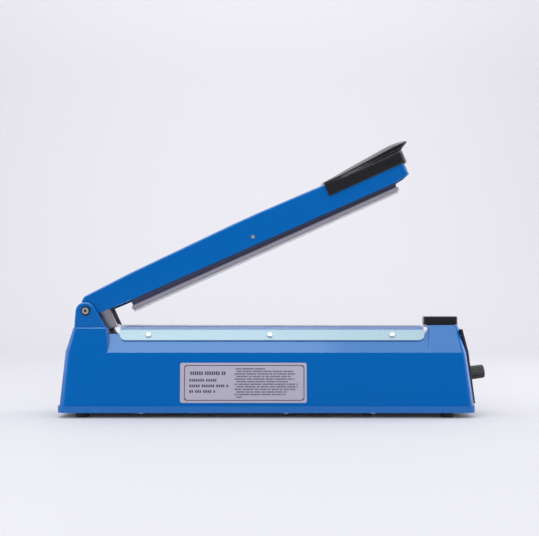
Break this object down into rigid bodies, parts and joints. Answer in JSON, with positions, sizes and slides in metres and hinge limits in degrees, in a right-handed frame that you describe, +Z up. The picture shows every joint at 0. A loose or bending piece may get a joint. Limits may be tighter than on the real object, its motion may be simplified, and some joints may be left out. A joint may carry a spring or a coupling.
{
  "type": "impulse heat sealer",
  "caption": "Hand-operated impulse heat sealer: long hinged sealing arm with a grip and floating jaw over a heated bed on a moulded base with a timer knob.",
  "frame": {"origin": "middle of the overall outline, on the surface that the feet stand on", "axes": "+X from the hinge end to the timer knob, +Y away from the labelled side, +Z up"},
  "size_m": [0.4476, 0.08, 0.2892],
  "materials": {
    "blue_abs": "glossy moulded ABS, fine texture",
    "black_abs": "black moulded plastic, satin to glossy",
    "black_rubber": "matt rubber",
    "zinc_steel": "zinc plated steel",
    "bright_steel": "nickel plated fasteners",
    "strip_aluminium": "drawn aluminium strip",
    "bar_aluminium": "extruded aluminium",
    "grey_steel": "grey painted sheet",
    "panel_black": "dark blue-black printed panel",
    "ptfe_cloth": "PTFE coated glass cloth, translucent",
    "glass_tape": "woven glass tape",
    "nichrome": "resistance ribbon",
    "silicone_white": "white silicone rubber",
    "label_foil": "silver printed foil label",
    "phenolic": "phenolic board",
    "laminated_steel": "varnished laminations",
    "winding_tape": "yellow polyester tape",
    "nylon_white": "white nylon",
    "board_green": "solder-masked board",
    "relay_blue": "relay case",
    "capacitor_black": "sleeved can",
    "lamp_red": "red lens",
    "lead_black": "PVC lead",
    "lead_red": "silicone lead"
  },
  "bodies": {
    "base": {"base_housing": "blue_abs", "base_plate": "zinc_steel", "base_plate_screws": "bright_steel", "bed_bar": "bar_aluminium", "bed_screws": "bright_steel", "board_pillars": "bright_steel", "capacitor": "capacitor_black", "cord_grommet": "black_rubber", "cover_strip_far": "strip_aluminium", "cover_strip_near": "strip_aluminium", "cover_strip_screws": "bright_steel", "foot_front_far": "black_rubber", "foot_front_near": "black_rubber", "foot_rear_far": "black_rubber", "foot_rear_near": "black_rubber", "foot_screws": "bright_steel", "front_panel": "panel_black", "front_panel_screws": "bright_steel", "fuse_block": "capacitor_black", "grip_pad": "black_abs", "grip_pad_screws": "bright_steel", "heating_element": "nichrome", "indicator_lamp": "lamp_red", "insulation_strip": "glass_tape", "lead_element_front": "lead_red", "lead_element_rear": "lead_red", "lead_supply": "lead_black", "lead_switch": "lead_black", "microswitch_body": "black_abs", "pivot_bush_far": "black_abs", "pivot_bush_near": "black_abs", "pivot_pin": "bright_steel", "pivot_washers": "zinc_steel", "potentiometer_body": "bright_steel", "potentiometer_nut": "bright_steel", "ptfe_cover": "ptfe_cloth", "rating_label": "label_foil", "relay": "relay_blue", "return_spring": "zinc_steel", "spring_seat": "zinc_steel", "switch_screws": "bright_steel", "terminal_block_front": "phenolic", "terminal_block_rear": "phenolic", "terminal_screws": "bright_steel", "timer_board": "board_green", "transformer_bobbin": "nylon_white", "transformer_coil": "winding_tape", "transformer_core": "laminated_steel", "transformer_frame": "zinc_steel", "transformer_screws": "bright_steel"},
    "arm": {"arm_shell": "blue_abs", "lift_bracket": "zinc_steel", "arm_screws": "bright_steel", "handle_grip": "black_abs", "jaw_pin": "bright_steel"},
    "jaw": {"jaw_bar": "grey_steel", "silicone_strip": "silicone_white"},
    "knob": {"timer_knob": "black_abs", "potentiometer_shaft": "bright_steel"},
    "switch_lever_body": {"switch_lever": "zinc_steel"}
  },
  "joints": [
    {"name": "arm_hinge", "type": "hinge", "parent": "base", "child": "arm", "pos_m": [-0.1976, 0, 0.11], "axis": [0, 1, 0], "range_deg": [0, 22.44], "stiffness_Nm_per_rad": 4, "springref_deg": -28.65, "deforming": ["return_spring"]},
    {"name": "jaw_rock", "type": "hinge", "parent": "arm", "child": "jaw", "pos_m": [-0.02448, 0, 0.18712], "axis": [0, 1, 0], "range_deg": [0, 1.8]},
    {"name": "knob_turn", "type": "hinge", "parent": "base", "child": "knob", "pos_m": [0.20036, 0, 0.043], "axis": [0.9914, 0, 0.1307], "range_deg": [-150, 150]},
    {"name": "switch_press", "type": "hinge", "parent": "base", "child": "switch_lever_body", "pos_m": [-0.1963, 0.0148, 0.0496], "axis": [0, 1, 0], "range_deg": [-13.1, 0]}
  ],
  "couplings": [
    {"joint": "jaw_rock", "follows": "arm_hinge", "ratio": 0.07843},
    {"joint": "switch_press", "follows": "arm_hinge", "ratio": -0.57932}
  ]
}
